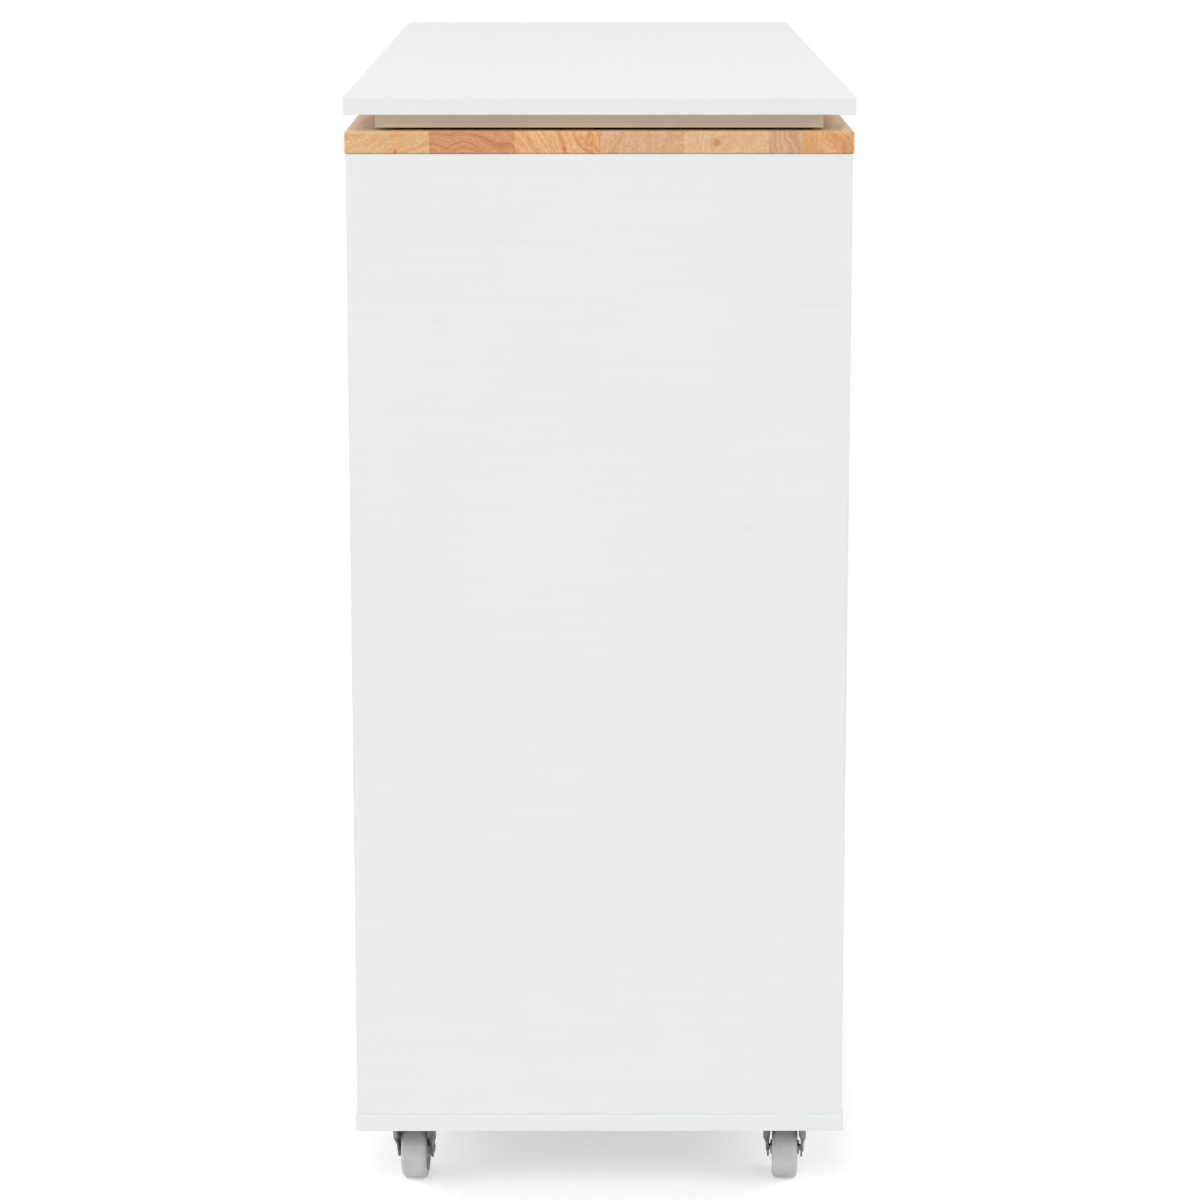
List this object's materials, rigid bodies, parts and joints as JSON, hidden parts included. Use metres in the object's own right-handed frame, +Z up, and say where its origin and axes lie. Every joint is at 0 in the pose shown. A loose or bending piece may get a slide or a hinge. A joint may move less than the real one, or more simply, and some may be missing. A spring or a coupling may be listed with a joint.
{
  "type": "rolling kitchen island",
  "caption": "White kitchen island on swivel casters, with a rubberwood worktop, a swivelling upper board, a two-door cupboard and a column of drawers.",
  "frame": {"origin": "on the floor, at the middle of the whole object's footprint", "axes": "+Z up; X along the island's length, +X towards the end that the picture shows; doors and drawers face -Y"},
  "size_m": [1.104, 0.422, 0.913],
  "materials": {
    "white_board": "white coated board with a fine pressed grain",
    "apron_paint": "off-white painted strip",
    "hardboard": "white faced thin hardboard",
    "rubberwood": "oiled rubberwood staves, glued side by side",
    "slide_steel": "zinc plated pressed steel",
    "bearing_steel": "zinc plated steel",
    "pin_steel": "bright zinc plated steel",
    "knob_nickel": "brushed nickel",
    "white_nylon": "white moulded nylon",
    "caster_zinc": "blue-grey zinc plated pressed steel",
    "wheel_plastic": "light grey moulded plastic"
  },
  "bodies": {
    "cabinet": {"base_board": "white_board", "right_end_panel": "white_board", "left_end_panel": "white_board", "partition": "white_board", "back_panel": "white_board", "top_rails": "white_board", "worktop": "rubberwood", "shelf": "white_board", "shelf_pins": "pin_steel", "pivot_bushes": "white_nylon", "magnetic_catch": "white_nylon", "slide_outer_members": "slide_steel", "swivel_lower_ring": "bearing_steel", "caster_plates": "caster_zinc", "caster_kingpins": "pin_steel"},
    "swivel_top": {"upper_board": "white_board", "apron": "apron_paint", "swivel_upper_ring": "bearing_steel"},
    "bearing_cage": {"swivel_ball_cage": "bearing_steel"},
    "door_right": {"right_door": "white_board", "right_door_pivots": "pin_steel", "right_door_knob": "knob_nickel", "right_door_strike": "pin_steel"},
    "door_left": {"left_door": "white_board", "left_door_pivots": "pin_steel", "left_door_knob": "knob_nickel", "left_door_strike": "pin_steel"},
    "drawer_1": {"drawer_1_front": "white_board", "drawer_1_box": "white_board", "drawer_1_bottom": "hardboard", "drawer_1_knob": "knob_nickel", "drawer_1_slide_inner": "slide_steel"},
    "slide_middle_1": {"drawer_1_slide_middle": "slide_steel"},
    "drawer_2": {"drawer_2_front": "white_board", "drawer_2_box": "white_board", "drawer_2_bottom": "hardboard", "drawer_2_knob": "knob_nickel", "drawer_2_slide_inner": "slide_steel"},
    "slide_middle_2": {"drawer_2_slide_middle": "slide_steel"},
    "drawer_3": {"drawer_3_front": "white_board", "drawer_3_box": "white_board", "drawer_3_bottom": "hardboard", "drawer_3_knob": "knob_nickel", "drawer_3_slide_inner": "slide_steel"},
    "slide_middle_3": {"drawer_3_slide_middle": "slide_steel"},
    "caster_near_front_swivel": {"caster_near_front_fork": "caster_zinc", "caster_near_front_pins": "pin_steel"},
    "caster_near_front_roller": {"caster_near_front_wheel": "wheel_plastic"},
    "caster_near_back_swivel": {"caster_near_back_fork": "caster_zinc", "caster_near_back_pins": "pin_steel"},
    "caster_near_back_roller": {"caster_near_back_wheel": "wheel_plastic"},
    "caster_far_front_swivel": {"caster_far_front_fork": "caster_zinc", "caster_far_front_pins": "pin_steel"},
    "caster_far_front_roller": {"caster_far_front_wheel": "wheel_plastic"},
    "caster_far_back_swivel": {"caster_far_back_fork": "caster_zinc", "caster_far_back_pins": "pin_steel"},
    "caster_far_back_roller": {"caster_far_back_wheel": "wheel_plastic"},
    "caster_far_front_brake": {"caster_far_front_brake_lever": "caster_zinc"},
    "caster_far_back_brake": {"caster_far_back_brake_lever": "caster_zinc"}
  },
  "joints": [
    {"name": "top_swivel", "type": "hinge", "parent": "cabinet", "child": "swivel_top", "pos_m": [-0.35, 0.009, 0.8865], "axis": [0, 0, 1], "continuous": true},
    {"name": "cage_turn", "type": "hinge", "parent": "cabinet", "child": "bearing_cage", "pos_m": [-0.35, 0.009, 0.893], "axis": [0, 0, 1], "continuous": true},
    {"name": "right_door_hinge", "type": "hinge", "parent": "cabinet", "child": "door_right", "pos_m": [0.5245, -0.1825, 0.076], "axis": [0, 0, 1], "range_deg": [0, 100]},
    {"name": "left_door_hinge", "type": "hinge", "parent": "cabinet", "child": "door_left", "pos_m": [-0.1695, -0.1825, 0.076], "axis": [0, 0, -1], "range_deg": [0, 88]},
    {"name": "drawer_1_slide", "type": "slide", "parent": "cabinet", "child": "drawer_1", "axis": [0, -1, 0], "range_m": [0, 0.34]},
    {"name": "slide_middle_1_slide", "type": "slide", "parent": "cabinet", "child": "slide_middle_1", "axis": [0, -1, 0], "range_m": [0, 0.17]},
    {"name": "drawer_2_slide", "type": "slide", "parent": "cabinet", "child": "drawer_2", "axis": [0, -1, 0], "range_m": [0, 0.34]},
    {"name": "slide_middle_2_slide", "type": "slide", "parent": "cabinet", "child": "slide_middle_2", "axis": [0, -1, 0], "range_m": [0, 0.17]},
    {"name": "drawer_3_slide", "type": "slide", "parent": "cabinet", "child": "drawer_3", "axis": [0, -1, 0], "range_m": [0, 0.34]},
    {"name": "slide_middle_3_slide", "type": "slide", "parent": "cabinet", "child": "slide_middle_3", "axis": [0, -1, 0], "range_m": [0, 0.17]},
    {"name": "caster_near_front_turn", "type": "hinge", "parent": "cabinet", "child": "caster_near_front_swivel", "pos_m": [0.504, -0.1465, 0.0551], "axis": [0, 0, 1], "continuous": true},
    {"name": "caster_near_front_roll", "type": "hinge", "parent": "caster_near_front_swivel", "child": "caster_near_front_roller", "pos_m": [0.48804, -0.14538, 0.0254], "axis": [0.0698, 0.9976, 0], "continuous": true},
    {"name": "caster_near_back_turn", "type": "hinge", "parent": "cabinet", "child": "caster_near_back_swivel", "pos_m": [0.504, 0.1645, 0.0551], "axis": [0, 0, 1], "continuous": true},
    {"name": "caster_near_back_roll", "type": "hinge", "parent": "caster_near_back_swivel", "child": "caster_near_back_roller", "pos_m": [0.48804, 0.16562, 0.0254], "axis": [0.0698, 0.9976, 0], "continuous": true},
    {"name": "caster_far_front_turn", "type": "hinge", "parent": "cabinet", "child": "caster_far_front_swivel", "pos_m": [-0.504, -0.1465, 0.0551], "axis": [0, 0, 1], "continuous": true},
    {"name": "caster_far_front_roll", "type": "hinge", "parent": "caster_far_front_swivel", "child": "caster_far_front_roller", "pos_m": [-0.51996, -0.14538, 0.0254], "axis": [0.0698, 0.9976, 0], "continuous": true},
    {"name": "caster_far_front_brake_press", "type": "hinge", "parent": "caster_far_front_swivel", "child": "caster_far_front_brake", "pos_m": [-0.53792, -0.14413, 0.051], "axis": [-0.0698, -0.9976, 0], "range_deg": [0, 13]},
    {"name": "caster_far_back_turn", "type": "hinge", "parent": "cabinet", "child": "caster_far_back_swivel", "pos_m": [-0.504, 0.1645, 0.0551], "axis": [0, 0, 1], "continuous": true},
    {"name": "caster_far_back_roll", "type": "hinge", "parent": "caster_far_back_swivel", "child": "caster_far_back_roller", "pos_m": [-0.51996, 0.16562, 0.0254], "axis": [0.0698, 0.9976, 0], "continuous": true},
    {"name": "caster_far_back_brake_press", "type": "hinge", "parent": "caster_far_back_swivel", "child": "caster_far_back_brake", "pos_m": [-0.53792, 0.16687, 0.051], "axis": [-0.0698, -0.9976, 0], "range_deg": [0, 13]}
  ],
  "couplings": [
    {"joint": "cage_turn", "follows": "top_swivel", "ratio": 0.5},
    {"joint": "slide_middle_1_slide", "follows": "drawer_1_slide", "ratio": 0.5},
    {"joint": "slide_middle_2_slide", "follows": "drawer_2_slide", "ratio": 0.5},
    {"joint": "slide_middle_3_slide", "follows": "drawer_3_slide", "ratio": 0.5}
  ]
}
